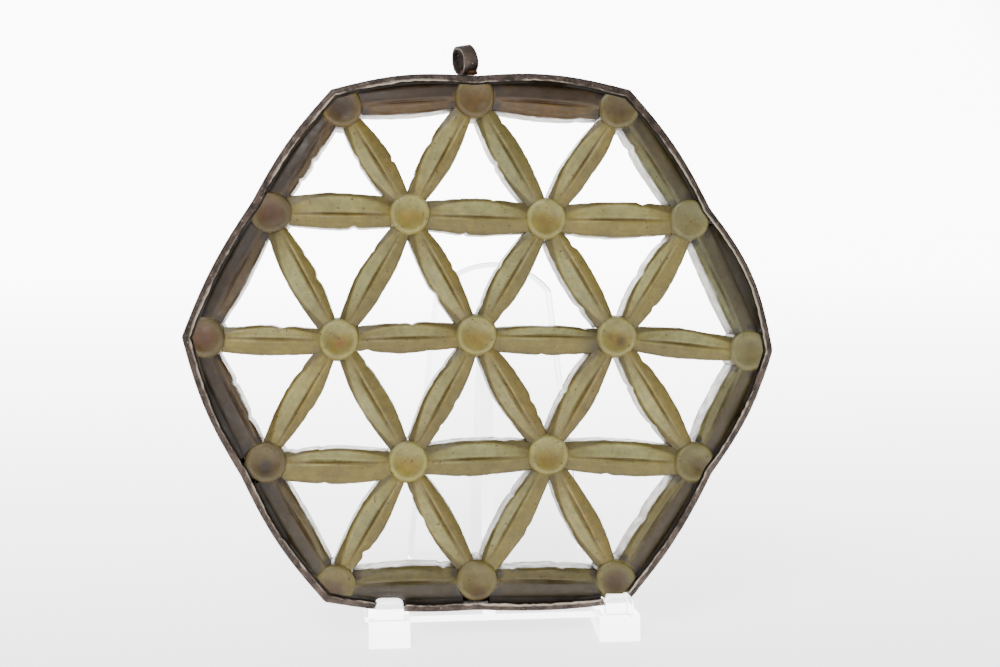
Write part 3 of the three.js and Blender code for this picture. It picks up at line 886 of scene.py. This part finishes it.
def paper_material():
    """White paper, lit up from behind beyond the object so that it shows pure white."""
    material, tree, shader = new_material("plain_white")
    shader.inputs["Base Color"].default_value = (0.9, 0.9, 0.9, 1)
    shader.inputs["Roughness"].default_value = 0.9
    shader.inputs["Emission Color"].default_value = (1, 1, 1, 1)
    place = tree.nodes.new("ShaderNodeTexCoord")
    split = tree.nodes.new("ShaderNodeSeparateXYZ")
    tree.links.new(place.outputs["Object"], split.inputs["Vector"])
    across = tree.nodes.new("ShaderNodeMath")
    across.operation = "ABSOLUTE"
    tree.links.new(split.outputs["X"], across.inputs[0])
    glow = ramp(tree, split.outputs["Y"], *GLOW_DEPTH, GLOW_NEAR, GLOW_FAR)
    for source, reach in ((across.outputs[0], GLOW_SIDE_FADE),
                          (split.outputs["Z"], GLOW_TOP_FADE)):
        fade = ramp(tree, source, *reach, 1.0, GLOW_LEAST)
        product = tree.nodes.new("ShaderNodeMath")
        product.operation = "MULTIPLY"
        tree.links.new(glow, product.inputs[0])
        tree.links.new(fade, product.inputs[1])
        glow = product.outputs[0]
    tree.links.new(glow, shader.inputs["Emission Strength"])
    return material


# ---- assembly ----
def finish_piece(piece, name, material, angle=32):
    piece.name = name
    piece.data.name = name
    piece.data.transform(TO_WORLD)
    piece.data.materials.clear()
    piece.data.materials.append(material)
    piece.data.polygons.foreach_set("use_smooth", [True] * len(piece.data.polygons))
    piece.data.set_sharp_from_angle(angle=math.radians(angle))
    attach(piece, "root")


def rub_colours(thing, high=math.inf):
    """White where the silver is rubbed bright: above the level high, by default nowhere."""
    points = vertex_array(thing)
    amount = np.clip((points[:, 2] - high) / RUB_FADE, 0, 1) * RUB_MOST
    store_colour(thing, "rub", np.repeat(amount[:, None], 3, axis=1))


random = np.random.RandomState(SEED)
struts = make_struts()

jade = jade_body(struts, random)
store_colour(jade, "tint", jade_tints(vertex_array(jade), struts, random))
finish_piece(jade, "carved_jade", jade_material())
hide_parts("jade_plaque")

silver = silver_material(
    "tarnished_silver", pigment(66, 57, 50), pigment(112, 102, 95), pigment(196, 188, 178))
long_band = band_body("band", rim_step_at(7, NOTCH["left"]), CORNER_GAP_END + len(RIM), random)
rub_colours(long_band, RUB_LEVEL)
finish_piece(long_band, "worn_band", silver)
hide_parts("silver_band")

short_band = band_body(
    "band", rim_step_at(6, CORNER_GAP["left"]), rim_step_at(7, NOTCH["right"]), random)
rub_colours(short_band, RUB_LEVEL)
finish_piece(short_band, "worn_band_lower", silver)
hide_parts("silver_band_lower")

ring = loop_body()
rub_colours(ring)
finish_piece(ring, "hanging_ring", silver, 40)
solder = solder_body(random)
rub_colours(solder)
old_solder = silver_material(
    "old_solder", pigment(92, 68, 48), pigment(162, 126, 94), pigment(204, 178, 150))
finish_piece(solder, "solder_patch", old_solder, 60)
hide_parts("hanging_loop")

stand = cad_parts["display_stand"]
stand.data.materials.clear()
stand.data.materials.append(clear_material())


# ---- stage, light and camera ----
def backdrop():
    """A sheet of paper that lies under the object and curves up behind it."""
    profile = [(BACKDROP_FRONT, 0.0), (BACKDROP_FLAT, 0.0), (BACKDROP_BEND, 0.0)]
    for i in range(1, BACKDROP_STEPS + 1):
        angle = math.pi / 2 * i / BACKDROP_STEPS
        profile.append((BACKDROP_BEND + BACKDROP_RADIUS * math.sin(angle),
                        BACKDROP_RADIUS - BACKDROP_RADIUS * math.cos(angle)))
    profile.append((BACKDROP_BEND + BACKDROP_RADIUS, BACKDROP_TOP))
    points = [(x, y, z) for x in (-BACKDROP_HALF, BACKDROP_HALF) for y, z in profile]
    count = len(profile)
    faces = [(i, i + 1, count + i + 1, count + i) for i in range(count - 1)]
    sheet = add_object("backdrop", points, faces)
    sheet.data.materials.append(paper_material())
    sheet.data.polygons.foreach_set("use_smooth", [True] * len(sheet.data.polygons))


def area_light(name, place, target, size, power):
    lamp = bpy.data.lights.new(name, "AREA")
    lamp.size = size
    lamp.energy = power
    thing = bpy.data.objects.new(name, lamp)
    thing.location = place
    thing.rotation_euler = (Vector(target) - Vector(place)).to_track_quat("-Z", "Y").to_euler()
    bpy.context.scene.collection.objects.link(thing)


def camera():
    away = Vector((math.sin(CAMERA_AZIMUTH) * math.cos(CAMERA_RISE), math.sin(CAMERA_RISE),
                   math.cos(CAMERA_AZIMUTH) * math.cos(CAMERA_RISE)))
    right = (-away).cross(Vector((0, 1, 0))).normalized()
    up = right.cross(-away)
    across = math.cos(CAMERA_ROLL) * right + math.sin(CAMERA_ROLL) * up
    upright = -math.sin(CAMERA_ROLL) * right + math.cos(CAMERA_ROLL) * up
    turned = PLAQUE.to_3x3() @ Matrix((across, upright, away)).transposed()
    place = PLAQUE @ (away * CAMERA_AWAY + Vector((0, 0, CAMERA_LEVEL)))
    data = bpy.data.cameras.new("camera")
    data.lens = CAMERA_LENS
    data.sensor_width = CAMERA_SENSOR
    data.shift_x, data.shift_y = CAMERA_SHIFT
    data.clip_start = CAMERA_NEAREST
    thing = bpy.data.objects.new("camera", data)
    thing.matrix_world = Matrix.Translation(place * MM) @ turned.to_4x4()
    bpy.context.scene.collection.objects.link(thing)
    bpy.context.scene.camera = thing


backdrop()
for light_name, light_place, light_size, light_power in LIGHTS:
    area_light(light_name, light_place, CENTRE, light_size, light_power)
world = bpy.data.worlds.new("studio")
world.use_nodes = True
world.node_tree.nodes["Background"].inputs["Color"].default_value = WORLD_COLOUR
world.node_tree.nodes["Background"].inputs["Strength"].default_value = WORLD_STRENGTH
bpy.context.scene.world = world
camera()
